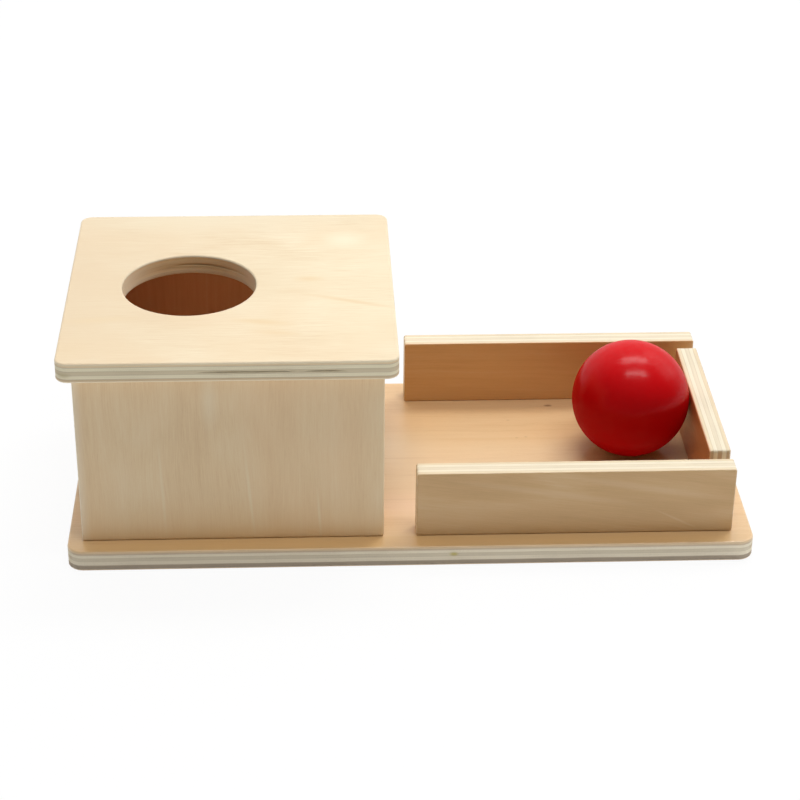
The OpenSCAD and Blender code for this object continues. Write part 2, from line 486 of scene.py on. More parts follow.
@dataclass(frozen=True)
class VeneerFinish:
    """Sanded and thinly sealed face veneer, with figure, streaks, fibres and pores.

    Attributes:
        name: what the finish is called.
        deep: the colour of the darkest late wood.
        middle: the usual colour.
        pale: the colour of the lightest early wood.
        blush: a second hue that lies in broad patches.
        blush_share: how much of the blush shows.
        figure: strength of the long contour lines.
        rings: how many contour lines there are.
        bands: strength of the broad bands.
        streaks: strength of the narrow streaks.
        fibres: strength of the finest fibres.
        pores: strength of the short dark pores.
        worn_and_lit: the colour laid on the eased arrises, for bared wood and for a painted highlight where
            they catch the light.
        worn_and_lit_share: how much of it shows.
        breadth: how broad the figure, the bands and the blush are.
        stretch: how long they are.
        roughness: roughness of the sealed surface.
        sheen: how much the sealer mirrors.
    """

    name: str
    deep: Colour
    middle: Colour
    pale: Colour
    blush: Colour
    blush_share: float = 0.35
    figure: float = 0.25
    rings: float = 9.0
    bands: float = 0.5
    streaks: float = 0.4
    fibres: float = 0.35
    pores: float = 0.12
    worn_and_lit: Colour = (0.93, 0.84, 0.64)
    worn_and_lit_share: float = 0.5
    breadth: float = 1.0
    stretch: float = 1.0
    roughness: float = 0.42
    sheen: float = 0.5

    WANDER = GrainLayer(long=9.0, cross=24.0, shift=0.0)
    WANDER_REACH = 0.010
    CONTOUR = GrainLayer(long=7.0, cross=28.0, shift=3.7, detail=1.0)
    CONTOUR_SWING = 0.5
    BAND = GrainLayer(long=5.0, cross=110.0, shift=7.1)
    STREAK = GrainLayer(long=14.0, cross=520.0, shift=11.3, detail=3.0, roughness=0.6)
    FIBRE = GrainLayer(long=90.0, cross=2300.0, shift=17.9, roughness=0.65)
    PORE = GrainLayer(long=420.0, cross=3600.0, shift=23.3, detail=1.0)
    PORE_EDGE = (0.13, 0.24)
    BLUSH = GrainLayer(long=16.0, cross=42.0, shift=29.9)
    BLUSH_EDGE = (-0.14, 0.2)
    WORN_AND_LIT_FROM = 0.04 * MM
    WORN_AND_LIT_TO = 0.45 * MM
    FIBRE_ROUGHNESS = 0.16
    PORE_ROUGHNESS = 0.1
    FIBRE_RISE = 0.7
    STREAK_RISE = 0.3
    PORE_FALL = 0.5
    BUMP_DEPTH = 0.04 * MM
    BUMP_STRENGTH = 0.45

    def material(self, board: str, lay: GrainLay, marks: Sequence[Mark] = ()) -> bpy.types.Material:
        """Makes the finish for one board.

        Args:
            board: the board's name.
            lay: how the board's grain runs.
            marks: spots that this board's veneer has.

        Returns:
            The material.
        """
        material, bench = new_material(f"{self.name} on {board}")
        place = bench.place()
        parts = bench.split(place)
        along = parts[lay.along.value]
        depth = parts[lay.through.value]
        across = parts[lay.across.value] + along * lay.slant
        wander = self.WANDER.read(bench, (along, across, depth), lay.seed)
        spot = (along, across + wander * self.WANDER_REACH, depth)
        drawn = (self.stretch, self.breadth)

        contour = self.CONTOUR.read(bench, spot, lay.seed, *drawn)
        figure = (contour * (self.rings * math.tau)).sine() * self.CONTOUR_SWING
        bands = self.BAND.read(bench, spot, lay.seed, *drawn)
        streaks = self.STREAK.read(bench, spot, lay.seed)
        fibres = self.FIBRE.read(bench, spot, lay.seed)
        pores = bench.ease(self.PORE.read(bench, spot, lay.seed), *self.PORE_EDGE)
        blush = bench.ease(self.BLUSH.read(bench, spot, lay.seed, *drawn), *self.BLUSH_EDGE)

        tone = MIDDLE + figure * self.figure + bands * self.bands + streaks * self.streaks
        tone = tone + fibres * self.fibres - pores * self.pores
        colour = bench.shade(tone, ((0.0, self.deep), (MIDDLE, self.middle), (1.0, self.pale)))
        colour = bench.blend(blush * self.blush_share, colour, self.blush)
        for mark in marks:
            colour = mark.paint(bench, place, colour)
        # Paints the eased arrises paler: bared wood, and a painted highlight where they catch the light.
        if lay.faces:
            low, high = lay.faces
            below_face = (high - low) / 2 - abs(depth - (low + high) / 2)
            worn_and_lit = bench.ease(below_face + streaks * self.WORN_AND_LIT_TO, self.WORN_AND_LIT_FROM, self.WORN_AND_LIT_TO)
            colour = bench.blend(worn_and_lit * self.worn_and_lit_share, colour, self.worn_and_lit)

        height = MIDDLE + fibres * self.FIBRE_RISE + streaks * self.STREAK_RISE - pores * self.PORE_FALL
        bench.principled(
            {
                "Base Color": colour,
                "Roughness": self.roughness - fibres * self.FIBRE_ROUGHNESS + pores * self.PORE_ROUGHNESS,
                "Normal": bench.bump(height, self.BUMP_DEPTH, self.BUMP_STRENGTH),
                "Specular IOR Level": self.sheen,
            }
        )
        return material


@dataclass(frozen=True)
class PlyEdgeFinish:
    """The sawn and sanded edge of plywood.

    Attributes:
        name: what the finish is called.
        with_grain: colours of the plies, low face first, where the edge runs with the face grain.
        cross_grain: the same where it runs across the face grain.
        glue: the colour of a glue line.
        worn_and_lit: the colour of the eased arris, for bared wood and for a painted highlight.
        worn_and_lit_share: how much of it shows.
        speckle: strength of the cut fibres.
        lines: where the glue lines are, as shares of the thickness from the low face.
        roughness: roughness of the cut wood.
    """

    name: str
    with_grain: tuple[Colour, ...]
    cross_grain: tuple[Colour, ...]
    glue: Colour
    worn_and_lit: Colour
    worn_and_lit_share: float = 0.3
    speckle: float = 0.3
    lines: tuple[float, ...] = (0.2, 0.4, 0.6, 0.8)
    roughness: float = 0.62

    GLUE_HALF = 0.022
    WAVER = 0.035
    WAVER_SCALE = 60.0
    TURN = (0.6, 0.8)
    STREAK_RUN = 45.0
    STREAK_DEPTH = 1900.0
    STREAK_DETAIL = 3.0
    STREAK_GREY = 0.45
    SPECKLE_SCALE = 2600.0
    CUT_ROUGHNESS = 0.6
    BROAD_SHIFT = 5.0
    BROAD_GREY = 0.3
    TINT = ((0.0, (0.62, 0.58, 0.54)), (MIDDLE, WHITE), (1.0, (1.1, 1.1, 1.08)))
    ARRIS = 0.10
    SPECKLE_ROUGHNESS = 0.2
    WOOD_IOR = 1.45
    RISE = 0.5
    BUMP_DEPTH = 0.06 * MM
    BUMP_STRENGTH = 0.5

    def stops(self, plies: Sequence[Colour]) -> list[tuple[float, Colour]]:
        """Lays plies and the glue lines between them along a ramp.

        Args:
            plies: colours of the plies, low face first.

        Returns:
            The ramp's stops.
        """
        stops: list[tuple[float, Colour]] = []
        for colour, start, end in zip(plies, (0.0, *self.lines), (*self.lines, 1.0)):
            stops.append((start + self.GLUE_HALF, colour))
            stops.append((end - self.GLUE_HALF, colour))
            if end in self.lines:
                stops.append((end, self.glue))
        return stops

    def material(
        self, board: str, lay: GrainLay, low: float, thickness: float, marks: Sequence[Mark] = ()
    ) -> bpy.types.Material:
        """Makes the finish for one board's edges.

        Args:
            board: the board's name.
            lay: how the board's face grain runs.
            low: where the board's low face is, along its thickness.
            thickness: the board's thickness.
            marks: knots and stains in the edge.

        Returns:
            The material.
        """
        material, bench = new_material(f"{self.name} of {board}")
        place = bench.place()
        parts = bench.split(place)
        along = parts[lay.along.value]
        across = parts[lay.across.value]
        depth = parts[lay.through.value]
        facing = bench.split(bench.node("ShaderNodeTexCoord", output="Normal"))
        runs_with_grain = bench.ease(abs(facing[lay.across.value]), *self.TURN)

        waver = bench.cloud(bench.scaled(place, self.WAVER_SCALE))
        level = (depth - low) / thickness + waver * self.WAVER
        run = self.STREAK_RUN
        fine = self.SPECKLE_SCALE
        streak_spot = bench.join(along * run, across * run, depth * self.STREAK_DEPTH + lay.seed)
        streaks = bench.cloud(streak_spot, self.STREAK_DETAIL, self.CUT_ROUGHNESS)
        speckle_spot = bench.join(along * fine, across * fine, depth * fine + lay.seed)
        speckle = bench.cloud(speckle_spot, roughness=self.CUT_ROUGHNESS)
        broad = bench.cloud(bench.join(along * run, across * run, lay.seed + self.BROAD_SHIFT))

        lengthways = bench.shade(level, self.stops(self.with_grain))
        endways = bench.shade(level, self.stops(self.cross_grain))
        colour = bench.blend(runs_with_grain, endways, lengthways)
        grey = streaks * self.STREAK_GREY + speckle * self.speckle + broad * self.BROAD_GREY
        colour = bench.blend(1.0, colour, bench.shade(MIDDLE + grey, self.TINT), "MULTIPLY")
        # Paints the arrises at the edge's faces paler: bared wood, and a painted highlight where they catch
        # the light.
        arris = bench.ease(abs(level - MIDDLE), MIDDLE - self.ARRIS, MIDDLE)
        colour = bench.blend(arris * self.worn_and_lit_share, colour, self.worn_and_lit)
        for mark in marks:
            colour = mark.paint(bench, place, colour)

        height = streaks * self.RISE + speckle * self.RISE
        bench.principled(
            {
                "Base Color": colour,
                "Roughness": self.roughness + speckle * self.SPECKLE_ROUGHNESS,
                "Normal": bench.bump(height, self.BUMP_DEPTH, self.BUMP_STRENGTH),
                "IOR": self.WOOD_IOR,
            }
        )
        return material


@dataclass(frozen=True)
class LacquerFinish:
    """Glossy dipped lacquer over turned wood, with a fine orange peel.

    Attributes:
        name: what the finish is called.
        colour: the usual colour.
        painted_light_top: the colour at the top of the piece, painted light.
        deep: the colour at its foot, painted shade.
        roughness: roughness of the coloured coat.
        mirror: how much the coloured coat mirrors by itself, under the clear one.
        gloss: how much the clear top coat mirrors on the upper half.
        foot_gloss: how much it mirrors at the foot, where it dried duller.
        gloss_roughness: roughness of the top coat.
    """

    name: str
    colour: Colour
    painted_light_top: Colour
    deep: Colour
    roughness: float = 0.3
    mirror: float = 0.0
    gloss: float = 0.35
    foot_gloss: float = 0.12
    gloss_roughness: float = 0.23

    USUAL_FROM = 0.7
    DULL_BELOW = 0.42
    GLOSSY_ABOVE = 0.82
    POOL_SCALE = 55.0
    POOL_SHARE = 0.2
    PEEL_SCALE = 1700.0
    PEEL_DETAIL = 1.0
    FINE_SCALE = 3200.0
    ROUGHNESS_SWING = 0.12
    GLOSS_SWING = 0.9
    PEEL_RISE = 0.7
    FINE_RISE = 0.15
    BUMP_DEPTH = 0.06 * MM
    BUMP_STRENGTH = 0.5

    def material(self, foot: float, head: float) -> bpy.types.Material:
        """Makes the finish, painted darker towards the foot of the piece and lighter towards its top, as
        painted shade and light.

        Args:
            foot: the height of the piece's lowest point.
            head: the height of its highest point.

        Returns:
            The material.
        """
        material, bench = new_material(self.name)
        place = bench.place()
        height = (bench.split(place)[Axis.Z.value] - foot) / (head - foot)
        pools = bench.cloud(bench.scaled(place, self.POOL_SCALE))
        peel = bench.cloud(bench.scaled(place, self.PEEL_SCALE), self.PEEL_DETAIL)
        fine = bench.cloud(bench.scaled(place, self.FINE_SCALE))

        # Painted shade and light: the colour runs from dark at the foot to light at the top of the piece.
        stops = ((0.0, self.deep), (self.USUAL_FROM, self.colour), (1.0, self.painted_light_top))
        gloss = bench.ease(height, self.DULL_BELOW, self.GLOSSY_ABOVE, self.foot_gloss, self.gloss)
        skin = MIDDLE + peel * self.PEEL_RISE + fine * self.FINE_RISE
        bench.principled(
            {
                "Base Color": bench.shade(height + pools * self.POOL_SHARE, stops),
                "Roughness": self.roughness + pools * self.ROUGHNESS_SWING + fine * self.ROUGHNESS_SWING,
                "Normal": bench.bump(skin, self.BUMP_DEPTH, self.BUMP_STRENGTH),
                "Specular IOR Level": self.mirror,
                "Coat Weight": gloss + (peel + fine) * self.GLOSS_SWING,
                "Coat Roughness": self.gloss_roughness,
            }
        )
        return material


@dataclass(frozen=True)
class RimPoint:
    """A point on a board's outline and the way out of the wood there, on the two axes of its faces."""

    spot: Vector
    out: Vector


@dataclass(frozen=True)
class SectionRow:
    """One row of the loft: its height over the low face, its inset, and whether it is on the sawn rim."""

    depth: float
    inset: float
    on_rim: bool


@dataclass(frozen=True)
class RoundHole:
    """A round hole through a board, on the two axes of its faces."""

    middle: tuple[float, float]
    radius: float


@dataclass(frozen=True)
class LowDoor:
    """An opening cut up from a standing board's lower edge."""

    width: float
    height: float
    corner: float


@dataclass(frozen=True)
class CoreGap:
    """A gap in a flat board where two strips of one ply don't meet, open to the front of a rim.

    Attributes:
        start: where it starts along the rim.
        end: where it ends.
        ply: which ply it is in, the low face's being 0.
        depth: how far it goes in.
        in_hole: whether it opens into the board's hole instead of its outer rim.
    """

    start: float
    end: float
    ply: int = 2
    depth: float = 1.3 * MM
    in_hole: bool = False

    FACING_LIMIT = 0.55
    RAGGED_SCALE = 260.0
    RAGGED_MIDDLE = 0.8
    RAGGED_SWING = 0.5
    END_POWER = 0.4

    def reach(self, point: RimPoint, hole_rim: bool) -> float:
        """Says how deep the gap is at a point of the rim.

        Args:
            point: the point.
            hole_rim: whether the point is on the hole's rim.

        Returns:
            The depth, nought outside the gap.
        """
        if hole_rim != self.in_hole or -point.out.y < self.FACING_LIMIT:
            return 0.0
        run = point.spot.x
        share = (run - self.start) / (self.end - self.start)
        if not 0.0 < share < 1.0:
            return 0.0
        swing = noise.noise(Vector((run * self.RAGGED_SCALE, self.start, self.end)))
        ragged = self.RAGGED_MIDDLE + self.RAGGED_SWING * swing
        return self.depth * ragged * math.sin(math.pi * share) ** self.END_POWER


def filleted_loop(corners: Sequence[tuple[float, float, float]], step: float) -> list[RimPoint]:
    """Walks round a polygon whose corners are rounded.

    Args:
        corners: first and second place and the radius of each corner, counterclockwise.
        step: the longest distance between points on a straight.

    Returns:
        The points of the outline, in order.
    """
    arcs: list[list[RimPoint]] = []
    for index, (first, second, radius) in enumerate(corners):
        here = Vector((first, second))
        before = Vector(corners[index - 1][:2])
        after = Vector(corners[(index + 1) % len(corners)][:2])
        heading_in = (here - before).normalized()
        heading_out = (after - here).normalized()
        swerve = heading_in.x * heading_out.y - heading_in.y * heading_out.x
        turn = math.atan2(swerve, heading_in.dot(heading_out))
        side = math.copysign(1.0, turn)
        start = here - heading_in * (radius * math.tan(abs(turn) / 2))
        middle = start + Vector((-heading_in.y, heading_in.x)) * (radius * side)
        count = max(ARC_STEPS, math.ceil(radius * abs(turn) / step))
        arc = []
        for part in range(count + 1):
            angle = math.atan2(heading_in.y, heading_in.x) + turn * part / count
            out = Vector((math.sin(angle), -math.cos(angle)))
            arc.append(RimPoint(middle + out * (radius * side), out))
        arcs.append(arc)
    loop: list[RimPoint] = []
    for index, arc in enumerate(arcs):
        loop.extend(arc)
        start = arc[-1]
        run = arcs[(index + 1) % len(arcs)][0].spot - start.spot
        count = max(1, math.ceil(run.length / step))
        loop.extend(RimPoint(start.spot + run * (part / count), start.out) for part in range(1, count))
    return loop


def hole_loop(hole: RoundHole, step: float) -> list[RimPoint]:
    """Walks clockwise round a hole, so that the wood is on the same side as on the outer rim.

    Args:
        hole: the hole.
        step: the longest distance between points.

    Returns:
        The points of the outline, in order.
    """
    count = math.ceil(math.tau * hole.radius / step)
    loop = []
    for part in range(count):
        angle = -math.tau * part / count
        way = Vector((math.cos(angle), math.sin(angle)))
        loop.append(RimPoint(Vector(hole.middle) + way * hole.radius, -way))
    return loop


@dataclass
class PlyBoard:
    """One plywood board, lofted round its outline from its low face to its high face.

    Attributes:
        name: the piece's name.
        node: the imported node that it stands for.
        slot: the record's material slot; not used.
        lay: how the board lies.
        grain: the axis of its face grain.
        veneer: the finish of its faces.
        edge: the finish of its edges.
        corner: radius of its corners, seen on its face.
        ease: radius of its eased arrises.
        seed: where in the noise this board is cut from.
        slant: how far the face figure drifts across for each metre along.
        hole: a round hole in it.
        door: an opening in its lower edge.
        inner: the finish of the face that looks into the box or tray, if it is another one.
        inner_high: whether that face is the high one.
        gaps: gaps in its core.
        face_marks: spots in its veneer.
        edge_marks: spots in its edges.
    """

    name: str
    node: str
    slot: str
    lay: Lay
    grain: Axis
    veneer: VeneerFinish
    edge: PlyEdgeFinish
    corner: float
    ease: float
    seed: float
    slant: float = 0.0
    hole: RoundHole | None = None
    door: LowDoor | None = None
    inner: VeneerFinish | None = None
    inner_high: bool = False
    gaps: tuple[CoreGap, ...] = ()
    face_marks: tuple[Mark, ...] = ()
    edge_marks: tuple[Mark, ...] = ()

    EASE_STEPS = 4
    LIP = 0.15 * MM
    PLY_ROWS = (0.3, 0.5, 0.7)
    GLUE_HALF = 0.16 * MM
    GLUE_DEPTH = 0.05 * MM
    PLY_SHY = 0.05 * MM
    PLY_STEP = 3.7
    RAGGED = 0.03 * MM
    RAGGED_SCALE = 420.0
    RAGGED_DEPTH_SCALE = 2000.0
    GAP_TAPER = 2.2

    def make(self) -> bpy.types.Object:
        """Builds and dresses the board and puts it in the node's place.

        Returns:
            The finished piece.
        """
        piece = self.build()
        self.dress(piece)
        stand_in(piece, self.node, FIXED_BODY)
        return piece

    def build(self) -> bpy.types.Object:
        """Lofts the board's mesh.

        Returns:
            The piece, with its faces numbered by skin.
        """
        low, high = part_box(self.node)
        through = self.lay.value[2].value
        thickness = high[through] - low[through]
        rows = self.section(thickness)
        work = bmesh.new()
        face_edges: list[list[bmesh.types.BMEdge]] = [[], []]
        for hole_rim, loop in enumerate(self.outlines(low, high)):
            rings = [self.ring(work, loop, row, low[through], thickness, bool(hole_rim)) for row in rows]
            veneered = self.EASE_STEPS + 1
            sawn = len(rings) - 1 - 2 * veneered
            skins = [Skin.LOW_FACE] * veneered + [Skin.RIM] * sawn + [Skin.HIGH_FACE] * veneered
            for lower, upper, skin in zip(rings, rings[1:], skins):
                self.strip(work, lower, upper, skin)
            for edges, ring in zip(face_edges, (rings[0], rings[-1])):
                for here, after in zip(ring, ring[1:] + ring[:1]):
                    edges.append(work.edges.get((here, after)))
        for skin, edges in zip((Skin.LOW_FACE, Skin.HIGH_FACE), face_edges):
            filled = bmesh.ops.triangle_fill(work, use_beauty=True, use_dissolve=False, edges=edges)
            for made in filled["geom"]:
                if isinstance(made, bmesh.types.BMFace):
                    made.material_index = skin
                    made.smooth = False
        bmesh.ops.recalc_face_normals(work, faces=work.faces)
        return piece_of(self.name, work)

    def outlines(self, low: Vector, high: Vector) -> list[list[RimPoint]]:
        """Walks round the board's outer rim and its hole.

        Args:
            low: the lowest corner of the node's box.
            high: its highest corner.

        Returns:
            The outer loop, then the hole's loop if there is one.
        """
        first, second = self.lay.value[0].value, self.lay.value[1].value
        left, right = low[first], high[first]
        foot, head = low[second], high[second]
        corners = [(left, foot, self.corner)]
        if self.door:
            middle = (left + right) / 2
            door_left = middle - self.door.width / 2
            door_right = middle + self.door.width / 2
            top = foot + self.door.height
            corners.append((door_left, foot, self.corner))
            corners.append((door_left, top, self.door.corner))
            corners.append((door_right, top, self.door.corner))
            corners.append((door_right, foot, self.corner))
        corners.append((right, foot, self.corner))
        corners.append((right, head, self.corner))
        corners.append((left, head, self.corner))
        loops = [filleted_loop(corners, RIM_STEP)]
        if self.hole:
            loops.append(hole_loop(self.hole, RIM_STEP))
        return loops

    def section(self, thickness: float) -> list[SectionRow]:
        """Lists the rows of the loft, from the low face to the high face.

        Args:
            thickness: the board's thickness.

        Returns:
            The rows: a lip on the face, the eased arris, the plies and glue lines, and the same back.
        """
        arris = []
        for part in range(self.EASE_STEPS + 1):
            angle = math.pi / 2 * part / self.EASE_STEPS
            arris.append((self.ease * (1 - math.cos(angle)), self.ease * (1 - math.sin(angle))))
        rows = [SectionRow(0.0, self.ease + self.LIP, False)]
        rows.extend(SectionRow(depth, inset, False) for depth, inset in arris)
        heights = []
        for start, end in self.plies(thickness):
            heights.extend(start + (end - start) * share for share in self.PLY_ROWS)
            heights.extend((end - self.GLUE_HALF, end, end + self.GLUE_HALF))
        clear = self.ease + self.GLUE_HALF
        rows.extend(SectionRow(height, 0.0, True) for height in heights if clear < height < thickness - clear)
        rows.extend(SectionRow(thickness - depth, inset, False) for depth, inset in reversed(arris))
        rows.append(SectionRow(thickness, self.ease + self.LIP, False))
        return rows

    def plies(self, thickness: float) -> list[tuple[float, float]]:
        """Gives where each ply starts and ends, from the low face up."""
        lines = [thickness * share for share in (0.0, *self.edge.lines, 1.0)]
        return list(zip(lines, lines[1:]))

    def relief(self, row: SectionRow, point: RimPoint, thickness: float, hole_rim: bool) -> float:
        """Says how far the sawn rim lies inside the true outline.

        Args:
            row: the row of the loft.
            point: the point of the outline.
            thickness: the board's thickness.
            hole_rim: whether the point is on the hole's rim.

        Returns:
            The distance, never less than nought.
        """
        if not row.on_rim:
            return 0.0
        plies = self.plies(thickness)
        index = sum(row.depth >= end for _, end in plies[:-1])
        start, end = plies[index]
        share = (row.depth - start) / (end - start)
        from_line = min(abs(row.depth - line) for _, line in plies[:-1])
        groove = self.GLUE_DEPTH * math.exp(-((from_line / self.GLUE_HALF) ** 2))
        shy = self.PLY_SHY * even_noise(Vector((self.seed, index * self.PLY_STEP, MIDDLE)))
        across, up = point.spot * self.RAGGED_SCALE
        ragged = self.RAGGED * even_noise(Vector((across, up, row.depth * self.RAGGED_DEPTH_SCALE)))
        inset = groove + shy * min(1.0, from_line / self.GLUE_HALF) + ragged
        for gap in self.gaps:
            if gap.ply == index:
                inset += gap.reach(point, hole_rim) * max(0.0, 1 - abs(2 * share - 1) * self.GAP_TAPER)
        return inset

    def ring(
        self,
        work: bmesh.types.BMesh,
        loop: Sequence[RimPoint],
        row: SectionRow,
        low: float,
        thickness: float,
        hole_rim: bool,
    ) -> list[bmesh.types.BMVert]:
        """Adds the vertices of one row.

        Args:
            work: the mesh that is being built.
            loop: the outline.
            row: the row of the loft.
            low: where the low face is.
            thickness: the board's thickness.
            hole_rim: whether the outline is the hole's.

        Returns:
            The vertices, in the outline's order.
        """
        first, second, through = (axis.value for axis in self.lay.value)
        ring = []
        for point in loop:
            inset = row.inset + self.relief(row, point, thickness, hole_rim)
            spot = point.spot - point.out * inset
            place = Vector((0.0, 0.0, 0.0))
            place[first] = spot.x
            place[second] = spot.y
            place[through] = low + row.depth
            ring.append(work.verts.new(place))
        return ring

    @staticmethod
    def strip(
        work: bmesh.types.BMesh,
        lower: Sequence[bmesh.types.BMVert],
        upper: Sequence[bmesh.types.BMVert],
        skin: Skin,
    ) -> None:
        """Joins two rows with quads.

        Args:
            work: the mesh that is being built.
            lower: the lower row.
            upper: the upper row.
            skin: the part of the surface that the strip is on.
        """
        count = len(lower)
        for index in range(count):
            after = (index + 1) % count
            face = work.faces.new((lower[index], lower[after], upper[after], upper[index]))
            face.material_index = skin
            face.smooth = True

    def dress(self, piece: bpy.types.Object) -> None:
        """Gives the board its veneer and its ply edges.

        Args:
            piece: the built board.
        """
        first, second, through = self.lay.value
        across = second if self.grain is first else first
        low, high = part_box(self.node)
        faces = (low[through.value], high[through.value])
        thickness = faces[1] - faces[0]
        grain = GrainLay(self.grain, across, through, self.seed, self.slant, faces)
        face = self.veneer.material(self.name, grain, self.face_marks)
        inner = self.inner.material(f"{self.name} inside", grain) if self.inner else face
        edge = self.edge.material(self.name, grain, faces[0], thickness, self.edge_marks)
        for material in (face, edge, inner) if self.inner_high else (inner, edge, face):
            piece.data.materials.append(material)


CREAM_VENEER = VeneerFinish(
    name="cream_veneer",
    deep=(0.70, 0.515, 0.30),
    middle=(0.815, 0.675, 0.46),
    pale=(0.885, 0.78, 0.57),
    blush=(0.81, 0.63, 0.405),
    blush_share=0.6,
    figure=0.2,
    rings=3.5,
    bands=0.5,
    streaks=0.45,
    fibres=1.4,
    pores=0.08,
    breadth=1.6,
    stretch=0.5,
)
PALE_TAN_VENEER = VeneerFinish(
    name="pale_tan_veneer",
    deep=(0.70, 0.47, 0.25),
    middle=(0.83, 0.63, 0.38),
    pale=(0.90, 0.75, 0.51),
    blush=(0.85, 0.59, 0.34),
    figure=0.1,
    streaks=0.3,
    fibres=0.6,
    breadth=1.4,
)
WARM_TAN_VENEER = VeneerFinish(
    name="warm_tan_veneer",
    deep=(0.58, 0.34, 0.14),
    middle=(0.742, 0.50, 0.258),
    pale=(0.82, 0.61, 0.37),
    blush=(0.76, 0.475, 0.225),
    figure=0.05,
    bands=0.4,
    streaks=0.5,
    fibres=0.5,
    pores=0.2,
    worn_and_lit_share=0.35,
    roughness=0.32,
    sheen=1.0,
)
# The tray back wall's veneer, more orange than the front wall's: partly its own tone, partly the bounce light
# in its shade painted in.
AMBER_AND_BOUNCE_VENEER = VeneerFinish(
    name="amber_veneer",
    deep=(0.53, 0.26, 0.075),
    middle=(0.69, 0.382, 0.139),
    pale=(0.75, 0.49, 0.23),
    blush=(0.67, 0.345, 0.115),
    figure=0.05,
    bands=0.4,
    streaks=0.45,
    fibres=0.4,
    pores=0.1,
    roughness=0.32,
    sheen=0.7,
)
# The end wall's inside veneer, made redder than its outside to paint the ball's red bounce light on it.
PAINTED_RED_BOUNCE_VENEER = VeneerFinish(
    name="russet_veneer",
    deep=(0.50, 0.20, 0.06),
    middle=(0.65, 0.27, 0.095),
    pale=(0.72, 0.41, 0.19),
    blush=(0.64, 0.245, 0.08),
    figure=0.05,
    bands=0.4,
    streaks=0.45,
    fibres=0.4,
    pores=0.1,
    roughness=0.32,
    sheen=0.7,
)
KHAKI_VENEER = VeneerFinish(
    name="khaki_veneer",
    deep=(0.52, 0.32, 0.13),
    middle=(0.655, 0.42, 0.196),
    pale=(0.75, 0.54, 0.30),
    blush=(0.65, 0.42, 0.20),
    figure=0.3,
    rings=5.0,
    bands=0.35,
    streaks=0.35,
    fibres=0.6,
    pores=0.08,
)
# A darker, redder copy of the box's veneer for the faces inside the box and for the ramp: painted shade and
# bounce light inside the closed box.
SHADED_INNER_VENEER = VeneerFinish(
    name="inner_veneer",
    deep=(0.53, 0.26, 0.10),
    middle=(0.66, 0.345, 0.16),
    pale=(0.74, 0.46, 0.24),
    blush=(0.66, 0.33, 0.15),
    figure=0.05,
    bands=0.4,
    fibres=0.3,
    pores=0.1,
)
RAW_BEECH = VeneerFinish(
    name="raw_beech",
    deep=(0.50, 0.30, 0.16),
    middle=(0.66, 0.44, 0.25),
    pale=(0.74, 0.54, 0.34),
    blush=(0.66, 0.40, 0.24),
    pores=0.3,
    roughness=0.7,
)
BASE_EDGE = PlyEdgeFinish(
    name="base_edge",
    with_grain=(
        (0.50, 0.41, 0.31),
        (0.95, 0.86, 0.68),
        (0.80, 0.71, 0.535),
        (0.95, 0.86, 0.68),
        (0.71, 0.56, 0.385),
    ),
    cross_grain=(
        (0.48, 0.38, 0.27),
        (0.88, 0.79, 0.60),
        (0.70, 0.58, 0.40),
        (0.88, 0.79, 0.60),
        (0.76, 0.61, 0.42),
    ),
    glue=(0.74, 0.64, 0.48),
    worn_and_lit=(0.88, 0.74, 0.54),
    lines=(0.285, 0.495, 0.66, 0.825),
)
LID_EDGE = PlyEdgeFinish(
    name="lid_edge",
    with_grain=(
        (0.68, 0.52, 0.33),
        (0.85, 0.77, 0.56),
        (0.695, 0.595, 0.41),
        (0.84, 0.765, 0.555),
        (0.82, 0.66, 0.42),
    ),
    cross_grain=(
        (0.68, 0.52, 0.33),
        (0.83, 0.74, 0.54),
        (0.67, 0.55, 0.37),
        (0.83, 0.74, 0.54),
        (0.80, 0.64, 0.40),
    ),
    glue=(0.58, 0.49, 0.34),
    worn_and_lit=(0.86, 0.74, 0.52),
)
WALL_EDGE = PlyEdgeFinish(
    name="wall_edge",
    with_grain=(
        (0.77, 0.645, 0.44),
        (0.83, 0.745, 0.57),
        (0.765, 0.67, 0.495),
        (0.83, 0.745, 0.57),
        (0.77, 0.645, 0.44),
    ),
    cross_grain=(
        (0.62, 0.46, 0.27),
        (0.86, 0.75, 0.53),
        (0.60, 0.44, 0.26),
        (0.86, 0.75, 0.53),
        (0.62, 0.46, 0.27),
    ),
    glue=(0.66, 0.54, 0.37),
    worn_and_lit=(0.88, 0.77, 0.57),
)
RED_LACQUER = LacquerFinish(
    name="red_lacquer",
    colour=(0.50, 0.0015, 0.003),
    painted_light_top=(0.655, 0.003, 0.006),
    deep=(0.435, 0.001, 0.002),
)


